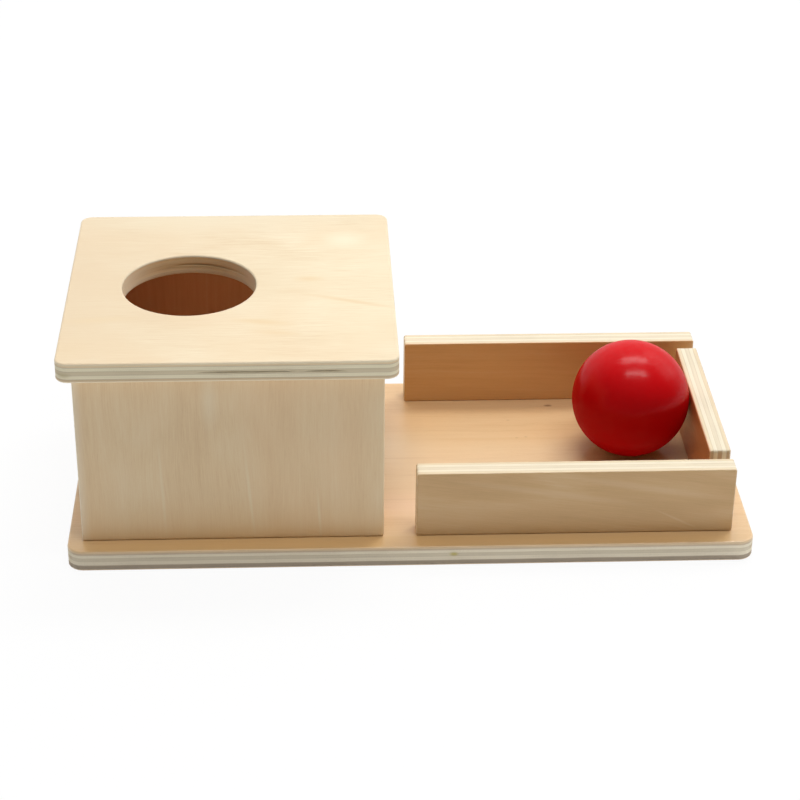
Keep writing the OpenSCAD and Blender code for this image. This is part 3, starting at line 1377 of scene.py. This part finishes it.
@dataclass
class BaseBoard:
    """The base board under everything.

    Attributes:
        corner: radius of its four corners.
        ease: radius of its arrises.
    """

    corner: float = 6.5 * MM
    ease: float = 0.8 * MM

    def make(self) -> list[bpy.types.Object]:
        """Builds and dresses the board.

        Returns:
            The piece, in a list.
        """
        knot = Mark(mm(16.7, -68, 5.4), mm(2.6, 3, 1.5), (0.60, 0.50, 0.12), strength=0.8, core=0.2)
        # Darkens the edge towards its bottom, along the floor.
        foot = Mark(mm(0, -68, 0), mm(1000, 1000, 1.4), (0.26, 0.22, 0.18), strength=0.7, core=0.3)
        board = PlyBoard(
            name="base_board_plywood",
            node="base_board",
            slot="base_plywood",
            lay=Lay.FLAT,
            grain=Axis.X,
            veneer=WARM_TAN_VENEER,
            edge=BASE_EDGE,
            corner=self.corner,
            ease=self.ease,
            seed=4.2,
            face_marks=self.face_marks(),
            edge_marks=(knot, foot),
        )
        return [board.make()]

    @staticmethod
    def face_marks() -> tuple[Mark, ...]:
        """Gives the spots in the board's face.

        Returns:
            Pale patches, painted shade along the front strip, rosy patches, grain lines, the fleck and the
            specks, in the order of laying.
        """
        pale = Mark(mm(26, -4, BASE_TOP), mm(62, 66, 3), (0.80, 0.575, 0.335), strength=0.5)
        palest = Mark(mm(48, -38, BASE_TOP), mm(80, 40, 3), (0.805, 0.60, 0.375), strength=0.5)
        band = Mark(mm(44, 17, BASE_TOP), mm(70, 3, 3), (0.70, 0.445, 0.20), strength=0.4)
        # Painted shade: the strip along the base's front edge made darker and more orange, for the shade that
        # the box, the lid and the tray's front wall cast on it.
        warm = Mark(mm(-10, -66, BASE_TOP), mm(200, 9, 3), (0.705, 0.445, 0.185), strength=0.6, core=0.5)
        rosy = Mark(mm(-4, -37, BASE_TOP), mm(26, 15, 3), (0.85, 0.56, 0.35), strength=0.5)
        light = Mark(mm(-4, 8, BASE_TOP), mm(26, 26, 3), (0.80, 0.60, 0.37), strength=0.5)
        lines = tuple(
            Mark(mm(-4, second, BASE_TOP), mm(44, 1.1, 3), (0.64, 0.40, 0.19), strength=0.35)
            for second in (1.5, -32.0)
        )
        fleck = Mark(mm(66.6, 45.8, BASE_TOP), mm(2.6, 1.2, 3), (0.28, 0.15, 0.07), strength=0.9, core=0.2)
        specks = tuple(
            Mark(mm(first, second, BASE_TOP), mm(1.1, 0.8, 3), (0.42, 0.26, 0.12), strength=0.3, core=0.2)
            for first, second in ((47.4, 33.1), (50.0, 17.6), (54.1, 18.3))
        )
        return (pale, palest, band, warm, rosy, light, *lines, fleck, *specks)


@dataclass
class DropBox:
    """The box: four walls, a lid with the drop hole, and the way out to the tray.

    Attributes:
        lid_corner: radius of the lid's corners.
        lid_ease: radius of the lid's arrises.
        wall_corner: radius of a wall's corners, seen on its face.
        wall_ease: radius of the long walls' arrises.
        butt_ease: radius of the arrises of the two walls between them.
        exit_width: width of the way out.
        exit_height: height of the way out.
        exit_corner: radius of its upper corners.
        hole_mark: how far the hole's marks go, in radii of the hole.
    """

    lid_corner: float = 5.0 * MM
    lid_ease: float = 0.8 * MM
    wall_corner: float = 1.0 * MM
    wall_ease: float = 0.8 * MM
    butt_ease: float = 0.2 * MM
    exit_width: float = 76.0 * MM
    exit_height: float = 60.0 * MM
    exit_corner: float = 10.0 * MM
    hole_mark: float = 1.09

    def make(self, record: Mapping[str, Any]) -> list[bpy.types.Object]:
        """Builds and dresses the lid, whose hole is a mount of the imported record, and the four walls."""
        return [self.lid(record), *self.walls()]

    def lid(self, record: Mapping[str, Any]) -> bpy.types.Object:
        """Builds and dresses the lid.

        Args:
            record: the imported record.

        Returns:
            The lid.
        """
        mount = next(mount for mount in record["mounts"] if mount["name"] == "drop_hole")
        hole = RoundHole((mount["pos_m"][0], mount["pos_m"][1]), mount["dims"]["r_mm"] * MM)
        gaps = (
            CoreGap(-84 * MM, -47 * MM),
            CoreGap(-42 * MM, -28 * MM),
            CoreGap(-96 * MM, -64 * MM, in_hole=True),
        )
        knot = Mark(mm(-136, -66, 90), mm(4, 4, 1.6), (0.58, 0.50, 0.28), strength=0.7, core=0.2)
        board = PlyBoard(
            name="lid_plywood_board",
            node="box_lid",
            slot="lid_plywood",
            lay=Lay.FLAT,
            grain=Axis.X,
            veneer=CREAM_VENEER,
            edge=LID_EDGE,
            corner=self.lid_corner,
            ease=self.lid_ease,
            seed=1.3,
            hole=hole,
            gaps=gaps,
            face_marks=self.lid_marks(),
            edge_marks=(knot, *self.hole_marks(hole)),
        )
        return board.make()

    @staticmethod
    def lid_marks() -> tuple[Mark, ...]:
        """Gives the spots in the lid's face.

        Returns:
            The broad tones, the first of them painted shade over the left and the second painted light over
            the right, then the lines and flames of its figure, then the pale spot at the back.
        """
        shade = (0.77, 0.60, 0.375)
        amber = (0.78, 0.585, 0.335)
        return (
            # Painted shade: the left of the lid darker, as the light falls from the right.
            Mark(mm(-145, 0, LID_TOP), mm(110, 150, 9), (0.735, 0.575, 0.377), strength=0.8),
            # Painted light: the right of the lid paler.
            Mark(mm(0, 0, LID_TOP), mm(70, 100, 9), (0.85, 0.735, 0.51), strength=0.6),
            Mark(mm(-62, 5, LID_TOP), mm(34, 40, 9), (0.785, 0.645, 0.43), strength=0.6),
            Mark(mm(-80, 66, LID_TOP), mm(90, 30, 9), (0.80, 0.695, 0.50), strength=0.7),
            Mark(mm(-126, -31, LID_TOP), mm(24, 4, 9), shade, strength=0.75, lean=(0.0, 0.09, 0.0)),
            Mark(mm(-135, -56, LID_TOP), mm(14, 14, 9), shade, strength=0.4),
            Mark(mm(-60, -34, LID_TOP), mm(17, 3.5, 9), amber, strength=0.8, lean=(0.0, -0.17, 0.0)),
            Mark(mm(-54, -43.5, LID_TOP), mm(13, 3, 9), amber, strength=0.55, lean=(0.0, -0.13, 0.0)),
            Mark(mm(-41, 4.2, LID_TOP), mm(9, 3.5, 9), amber, strength=0.7),
            Mark(mm(-48, -6.8, LID_TOP), mm(11, 4, 9), shade, strength=0.5),
            Mark(mm(-24, -16.5, LID_TOP), mm(26, 2.4, 9), amber, strength=0.75, lean=(0.0, -0.36, 0.0)),
            Mark(mm(-27, 11.4, LID_TOP), mm(7, 1.6, 9), shade, strength=0.5),
            Mark(mm(-25, 41, LID_TOP), mm(14, 12, 3), (0.90, 0.82, 0.61), strength=0.6),
        )

    def hole_marks(self, hole: RoundHole) -> tuple[Mark, ...]:
        """Gives the spots on the wall of the drop hole.

        Args:
            hole: the hole.

        Returns:
            Painted bounce light over the wall, painted light on its upper lip and its two sides, and painted
            shade in the core gap at the back, in the order of laying.
        """
        first, second = hole.middle
        across = hole.radius * self.hole_mark
        # Painted bounce light: the hole's wall made more orange, for the light that comes back up from inside
        # the box.
        wall_reach = (across, across, 9 * MM)
        wall = Mark((first, second, 91 * MM), wall_reach, (0.90, 0.60, 0.27), strength=0.6, core=0.93)
        # Painted light on the upper lip of the hole's wall.
        lip_reach = (across, across, 3.4 * MM)
        lip = Mark((first, second, 94 * MM), lip_reach, (0.99, 0.74, 0.40), strength=0.75, core=0.93)
        # Painted light on the two sides of the hole's wall.
        side_places = ((first + way * hole.radius, second, 92 * MM) for way in (-1, 1))
        sides = tuple(
            Mark(place, mm(25, 36, 20), (1.0, 0.85, 0.62), strength=0.9, core=0.2) for place in side_places
        )
        # Painted shade in the core gap at the back of the hole.
        gap_place = (first + 4 * MM, second + hole.radius, 90.1 * MM)
        gap = Mark(gap_place, mm(24, 9, 1.7), (0.42, 0.27, 0.12), strength=0.48, core=0.1)
        return (wall, lip, *sides, gap)

    @staticmethod
    def front_marks() -> tuple[Mark, ...]:
        """Gives the spots in the front wall's face.

        Returns:
            The painted bounce light at the foot, pale patches, three narrow light lines and a painted
            highlight along the left arris.
        """
        sapwood = (0.88, 0.75, 0.53)
        # Painted bounce light: the foot of the front wall made more orange, for the light thrown up from the
        # base board.
        foot = Mark(mm(-73, FRONT_FACE, 7), mm(150, 9, 26), (0.80, 0.53, 0.25), strength=0.6)
        patches = (
            Mark(mm(-81, FRONT_FACE, 74), mm(5, 9, 19), sapwood, strength=0.55),
            Mark(mm(-115.6, FRONT_FACE, 40), mm(6, 9, 16), sapwood, strength=0.2),
        )
        lines = tuple(
            Mark(mm(*place), mm(*reach), sapwood, strength, lean=(lean, 0.0, 0.0), run=Axis.Z)
            for place, reach, strength, lean in (
                ((-101, FRONT_FACE, 34), (1.0, 9, 32), 0.5, -0.036),
                ((-66, FRONT_FACE, 31), (1.0, 9, 28), 0.55, -0.084),
                ((-38, FRONT_FACE, 21), (0.9, 9, 16), 0.5, -0.06),
            )
        )
        # Painted highlight along the left arris of the front wall.
        arris = Mark(mm(-135, FRONT_FACE, 50), mm(5, 9, 200), (0.93, 0.83, 0.65), strength=0.6)
        return (foot, *patches, *lines, arris)

    def walls(self) -> list[bpy.types.Object]:
        """Builds and dresses the four walls.

        Returns:
            The front, back, left and exit walls.
        """
        door = LowDoor(self.exit_width, self.exit_height, self.exit_corner)
        made = []
        for name, lay, ease, seed, opening, inner_high, marks in (
            ("front", Lay.LENGTHWISE, self.wall_ease, 8.6, None, True, self.front_marks()),
            ("back", Lay.LENGTHWISE, self.wall_ease, 12.1, None, False, ()),
            ("left", Lay.CROSSWISE, self.butt_ease, 15.4, None, True, ()),
            ("exit", Lay.CROSSWISE, self.butt_ease, 19.8, door, False, ()),
        ):
            board = PlyBoard(
                name=f"box_{name}_wall_plywood",
                node=f"box_{name}_wall",
                slot="box_plywood",
                lay=lay,
                grain=Axis.Z,
                veneer=PALE_TAN_VENEER,
                edge=WALL_EDGE,
                corner=self.wall_corner,
                ease=ease,
                seed=seed,
                door=opening,
                # The inside faces take the copy of the veneer with painted shade.
                inner=SHADED_INNER_VENEER,
                inner_high=inner_high,
                face_marks=marks,
            )
            made.append(board.make())
        return made


@dataclass
class CatchTray:
    """The three low walls round the tray.

    Attributes:
        corner: radius of a wall's corners, seen on its face.
        ease: radius of its arrises.
        front_slant: how far the front wall's figure falls for each metre along.
    """

    corner: float = 1.0 * MM
    ease: float = 0.7 * MM
    front_slant: float = 0.13

    def make(self) -> list[bpy.types.Object]:
        """Builds and dresses the walls.

        Returns:
            The front, back and end walls.
        """
        early_wood = (0.78, 0.58, 0.34)
        light_lines = tuple(
            Mark(mm(*place), mm(*reach), early_wood, strength, core=0.2, lean=(0.0, 0.0, lean))
            for place, reach, strength, lean in (
                ((109, FRONT_FACE, 15), (13, 9, 0.8), 0.4, -0.52),
                ((55, FRONT_FACE, 28.7), (50, 9, 2.4), 0.3, -0.16),
                ((92, FRONT_FACE, 31), (46, 9, 2.6), 0.3, -0.18),
            )
        )
        made = []
        for name, lay, grain, veneer, inner, seed, slant, marks in (
            ("front", Lay.LENGTHWISE, Axis.X, KHAKI_VENEER, None, 22.7, self.front_slant, light_lines),
            # The back wall's veneer carries painted bounce light as well as its own tone.
            ("back", Lay.LENGTHWISE, Axis.X, AMBER_AND_BOUNCE_VENEER, None, 26.9, 0.0, ()),
            # The end wall's inside face carries the painted red bounce of the ball.
            ("end", Lay.CROSSWISE, Axis.Y, KHAKI_VENEER, PAINTED_RED_BOUNCE_VENEER, 31.5, 0.0, ()),
        ):
            board = PlyBoard(
                name=f"tray_{name}_wall_plywood",
                node=f"tray_{name}_wall",
                slot="tray_plywood",
                lay=lay,
                grain=grain,
                veneer=veneer,
                edge=WALL_EDGE,
                corner=self.corner,
                ease=self.ease,
                seed=seed,
                slant=slant,
                inner=inner,
                face_marks=marks,
            )
            made.append(board.make())
        return made


@dataclass
class LacqueredBall:
    """The turned wooden ball.

    Attributes:
        cuts: how many cuts each side of the starting cube gets.
        out_of_round: how far the turning is out of round.
        out_of_round_scale: how many times over the ball that varies.
        ripple: depth of the ripple that the lacquer took on.
        ripple_scale: how fine the ripple is.
    """

    cuts: int = 47
    out_of_round: float = 0.05 * MM
    out_of_round_scale: float = 1.6
    ripple: float = 0.006 * MM
    ripple_scale: float = 14.0

    def make(self) -> list[bpy.types.Object]:
        """Builds and dresses the ball.

        Returns:
            The piece, in a list.
        """
        low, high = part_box("ball")
        middle = (low + high) / 2
        radius = (high - low)[2] / 2
        work = bmesh.new()
        bmesh.ops.create_cube(work, size=2.0)
        bmesh.ops.subdivide_edges(work, edges=work.edges[:], cuts=self.cuts, use_grid_fill=True)
        for vert in work.verts:
            way = Vector(math.tan(part * math.pi / 4) for part in vert.co).normalized()
            slow = even_noise(way * self.out_of_round_scale) * self.out_of_round
            fine = even_noise(way * self.ripple_scale) * self.ripple
            vert.co = middle + way * (radius - slow - fine)
        for face in work.faces:
            face.smooth = True
        piece = piece_of("ball_turned", work)
        piece.data.materials.append(RED_LACQUER.material(low.z, high.z))
        stand_in(piece, "ball", BALL_BODY)
        return [piece]


@dataclass
class HiddenJoinery:
    """The ramp, its batten and the dowels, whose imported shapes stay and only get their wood.

    Attributes:
        ramp: the ramp's node.
        batten: the batten's node.
        dowels: the dowels' nodes.
    """

    ramp: str = "ramp_board"
    batten: str = "ramp_batten"
    dowels: tuple[str, ...] = ("box_base_dowels", "box_corner_dowels", "lid_dowels", "tray_dowels")

    def make(self, nodes: Mapping[str, bpy.types.Object]) -> list[bpy.types.Object]:
        """Dresses the nodes.

        Args:
            nodes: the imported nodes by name.

        Returns:
            The dressed nodes.
        """
        down_the_slope = GrainLay(Axis.X, Axis.Y, Axis.Z, seed=35.2)
        along_the_batten = GrainLay(Axis.Y, Axis.X, Axis.Z, seed=38.8)
        upright = GrainLay(Axis.Z, Axis.X, Axis.Y, seed=41.6)
        finishes = {
            # The ramp inside the box takes the copy of the veneer with painted shade.
            self.ramp: SHADED_INNER_VENEER.material(self.ramp, down_the_slope),
            self.batten: RAW_BEECH.material(self.batten, along_the_batten),
        }
        beech = RAW_BEECH.material("dowels", upright)
        finishes.update((name, beech) for name in self.dowels)
        for name, material in finishes.items():
            slots = nodes[name].data.materials
            slots.clear()
            slots.append(material)
        return [nodes[name] for name in finishes]


@dataclass(frozen=True)
class Lamp:
    """A rectangular soft light.

    Attributes:
        name: what it is called.
        place: where it hangs.
        aim: the point that it looks at.
        size: its two sides.
        power: its power in watts.
    """

    name: str
    place: Point
    aim: Point
    size: tuple[float, float]
    power: float

    def hang(self) -> None:
        """Makes the light and turns it to its aim, with its first side level."""
        light = bpy.data.lights.new(self.name, "AREA")
        light.shape = "RECTANGLE"
        light.size, light.size_y = self.size
        light.energy = self.power
        back = (Vector(self.place) - Vector(self.aim)).normalized()
        side = Vector((1.0, 0.0, 0.0)) - back * back.x
        side.normalize()
        turn = Matrix((side, back.cross(side), back)).transposed().to_4x4()
        put_in_scene(self.name, light).matrix_world = Matrix.Translation(self.place) @ turn


@dataclass
class Studio:
    """The pale floor, the soft light and the camera.

    Attributes:
        floor_side: side of the square floor.
        floor_drop: how far the floor is below the base board, so that no two faces lie in one plane.
        floor_colour: how light the floor is.
        floor_white: share of plain white that the floor shows to the camera.
        camera_place: where the camera stands.
        pitch: how far it looks down, in degrees.
        yaw: how far it turns from +Y towards +X, in degrees.
        roll: how far it leans, in degrees.
        lens: focal length in millimetres.
        sensor: width of the sensor in millimetres.
        dim: light from the dark side of the room, in front.
        bright: light from the bright side, behind.
        cove: light from the pale strip round the horizon.
        overhead: light from the ceiling.
        lamps: the soft lights.
    """

    floor_side: float = 14.0
    floor_drop: float = 0.1 * MM
    floor_colour: Colour = (0.95, 0.95, 0.95)
    floor_white: float = 0.93
    camera_place: Point = (-42.362 * MM, -810.981 * MM, 499.232 * MM)
    pitch: float = 29.550
    yaw: float = 2.802
    roll: float = -0.624
    lens: float = 98.396
    sensor: float = 36.0
    dim: float = 0.15
    bright: float = 0.95
    cove: float = 0.16
    overhead: float = 0.10
    lamps: tuple[Lamp, ...] = (
        Lamp("overhead_softbox", (0.29, 0.84, 2.30), (0.0, 0.0, 0.05), (1.65, 0.52), power=25.0),
        Lamp("front_strip", (0.31, -0.40, 2.10), (0.05, 0.0, 0.05), (1.40, 0.34), power=15.2),
        Lamp("side_softbox", (1.80, 1.10, 1.60), (0.05, 0.0, 0.05), (2.20, 1.70), power=13.0),
    )

    BACK_RANGE = (-0.10, 0.80)
    CEILING_RANGE = (0.55, 1.0)
    COVE_RANGE = (0.18, 0.36)

    def make(self) -> None:
        """Sets the floor, the lights, the surroundings and the camera."""
        bpy.context.scene.view_settings.view_transform = "Standard"
        self.lay_floor()
        for lamp in self.lamps:
            lamp.hang()
        self.surround()
        self.place_camera()

    def lay_floor(self) -> None:
        """Lays the floor, which is plain white to the camera but keeps a soft shadow."""
        half = self.floor_side / 2
        level = -self.floor_drop
        corners = [(-half, -half, level), (half, -half, level), (half, half, level), (-half, half, level)]
        mesh = bpy.data.meshes.new("studio_floor")
        mesh.from_pydata(corners, [], [range(len(corners))])
        put_in_scene("studio_floor", mesh)
        material, bench = new_material("pale_floor")
        matt = bench.node("ShaderNodeBsdfDiffuse", {}, {"Color": opaque(self.floor_colour)})
        white = bench.node("ShaderNodeEmission", {}, {"Color": opaque(WHITE), "Strength": 1.0})
        seen = bench.node("ShaderNodeLightPath", output="Is Camera Ray")
        seen = seen.most(seen.beside("Is Glossy Ray")).most(seen.beside("Is Transmission Ray"))
        look = bench.node("ShaderNodeMixShader", {}, {0: seen * self.floor_white, 1: matt, 2: white})
        bench.add("ShaderNodeOutputMaterial", {}, {"Surface": look})
        mesh.materials.append(material)

    def surround(self) -> None:
        """Makes the room: bright behind and overhead, dim in front, pale all round the horizon."""
        world = bpy.data.worlds.new("studio_room")
        world.use_nodes = True
        bpy.context.scene.world = world
        bench = Bench(world.node_tree)
        _, back, up = bench.split(bench.node("ShaderNodeTexCoord", output="Generated"))
        level = bench.ease(back, *self.BACK_RANGE, self.dim, self.bright)
        level = level + bench.ease(up, *self.CEILING_RANGE, 0.0, self.overhead)
        level = level.most(bench.ease(up, *self.COVE_RANGE, self.cove, 0.0))
        shine = bench.node("ShaderNodeBackground", {}, {"Color": opaque(WHITE), "Strength": level})
        bench.add("ShaderNodeOutputWorld", {}, {"Surface": shine})

    def place_camera(self) -> None:
        """Stands the camera where the picture was taken from."""
        pitch, yaw, roll = (math.radians(angle) for angle in (self.pitch, self.yaw, self.roll))
        ahead = Vector((math.sin(yaw) * math.cos(pitch), math.cos(yaw) * math.cos(pitch), -math.sin(pitch)))
        level_right = Vector((math.cos(yaw), -math.sin(yaw), 0.0))
        level_down = ahead.cross(level_right)
        right = level_right * math.cos(roll) + level_down * math.sin(roll)
        down = level_down * math.cos(roll) - level_right * math.sin(roll)
        data = bpy.data.cameras.new("camera")
        data.sensor_width = self.sensor
        data.lens = self.lens
        camera = put_in_scene("camera", data)
        turn = Matrix((right, -down, -ahead)).transposed().to_4x4()
        camera.matrix_world = Matrix.Translation(self.camera_place) @ turn
        bpy.context.scene.camera = camera


def main() -> None:
    """Builds the sub-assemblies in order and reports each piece."""
    logging.basicConfig(level=logging.INFO, format="%(name)s: %(message)s")
    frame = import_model()
    pieces = [
        *BaseBoard().make(),
        *DropBox().make(frame["record"]),
        *CatchTray().make(),
        *LacqueredBall().make(),
        *HiddenJoinery().make(frame["nodes"]),
    ]
    Studio().make()
    for piece in pieces:
        LOG.info("%s has %d faces", piece.name, len(piece.data.polygons))


if __name__ == "__main__":
    main()
